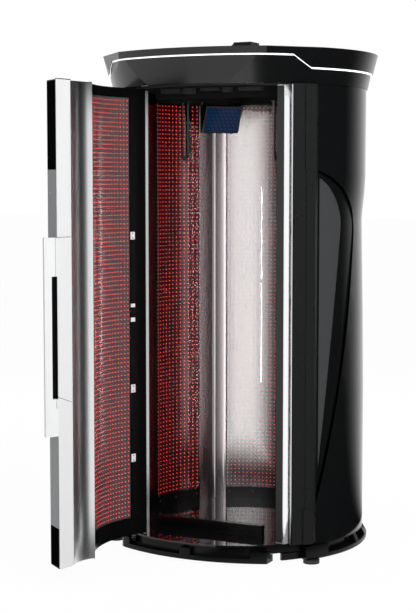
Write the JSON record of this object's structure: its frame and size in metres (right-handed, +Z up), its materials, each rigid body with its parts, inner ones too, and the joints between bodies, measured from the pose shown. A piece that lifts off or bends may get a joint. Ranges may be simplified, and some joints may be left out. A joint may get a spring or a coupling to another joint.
{
  "type": "red light therapy cabin",
  "caption": "Upright round light therapy cabin with LED-lined walls, a hinged curved LED door with a slotted pull handle, flared crown and slotted base ring.",
  "frame": {"origin": "on the cabin's vertical axis, the centre of its round body and LED walls, at the floor it stands on", "axes": "+Z up; -Y towards the doorway, so the front faces -Y; +X to the right of someone who faces the front"},
  "size_m": [1.3198, 1.9807, 2.42],
  "materials": {
    "gloss_black_shell": "gloss",
    "scoop_grey": "satin",
    "jamb_black": "satin",
    "black_metal": "satin",
    "gloss_floor": "gloss",
    "foot_rubber": "matte",
    "chrome": "polished",
    "extruded_aluminium": "brushed",
    "led_board": "satin",
    "clear_cover": "gloss",
    "fan_plastic": "matte",
    "display_glass": "gloss",
    "accent_white": "lit",
    "hinge_white": "gloss",
    "hinge_steel": "brushed",
    "white_door": "gloss",
    "grey_strip": "satin",
    "dark_cap": "satin"
  },
  "bodies": {
    "cabin": {"levelling_feet": "foot_rubber", "base_frame": "black_metal", "base_ring": "black_metal", "front_skirt": "black_metal", "right_base_block": "jamb_black", "left_base_block": "jamb_black", "cabin_floor": "gloss_floor", "sill_beam": "black_metal", "kick_plate": "black_metal", "rear_shell": "gloss_black_shell", "right_shell": "gloss_black_shell", "left_shell": "gloss_black_shell", "right_scoop_panel": "scoop_grey", "left_scoop_panel": "scoop_grey", "right_jamb": "jamb_black", "left_jamb": "jamb_black", "right_pilaster": "jamb_black", "left_pilaster": "jamb_black", "right_chrome_column": "chrome", "left_silver_column": "chrome", "right_inner_panel": "black_metal", "left_inner_panel": "black_metal", "right_led_wall": "led_board", "left_led_wall": "led_board", "rear_led_wall": "led_board", "right_cover": "clear_cover", "left_cover": "clear_cover", "rear_cover": "clear_cover", "right_mid_column": "extruded_aluminium", "left_mid_column": "extruded_aluminium", "led_drivers": "extruded_aluminium", "wall_header": "black_metal", "ceiling_plate": "black_metal", "ceiling_ducts": "black_metal", "fan_housings": "fan_plastic", "grab_handles": "black_metal", "display_bracket": "black_metal", "display_housing": "fan_plastic", "display_glass": "display_glass", "lower_crown": "gloss_black_shell", "upper_crown": "gloss_black_shell", "accent_light": "accent_white", "roof_box": "fan_plastic", "hinge_brackets": "hinge_white", "hinge_pins": "hinge_steel"},
    "door": {"door_frame": "black_metal", "door_skin": "gloss_black_shell", "door_led_wall": "led_board", "door_cover": "clear_cover", "door_free_column": "chrome", "door_hinge_column": "black_metal", "door_end_profile": "white_door", "door_panels": "black_metal", "door_edge_strip": "grey_strip", "door_edge_caps": "dark_cap", "door_handle": "white_door", "door_caps": "black_metal", "door_knuckles": "hinge_steel"},
    "left_fan": {"left_fan_rotor": "fan_plastic"},
    "right_fan": {"right_fan_rotor": "fan_plastic"}
  },
  "joints": [
    {"name": "door_hinge", "type": "hinge", "parent": "cabin", "child": "door", "pos_m": [-0.37, -0.455, 0], "axis": [0, 0, 1], "range_deg": [-8, 82]},
    {"name": "left_fan_spin", "type": "hinge", "parent": "cabin", "child": "left_fan", "pos_m": [-0.13, 0.04, 2.15], "axis": [0, 0, 1], "continuous": true},
    {"name": "right_fan_spin", "type": "hinge", "parent": "cabin", "child": "right_fan", "pos_m": [0.13, 0.04, 2.15], "axis": [0, 0, 1], "continuous": true}
  ]
}
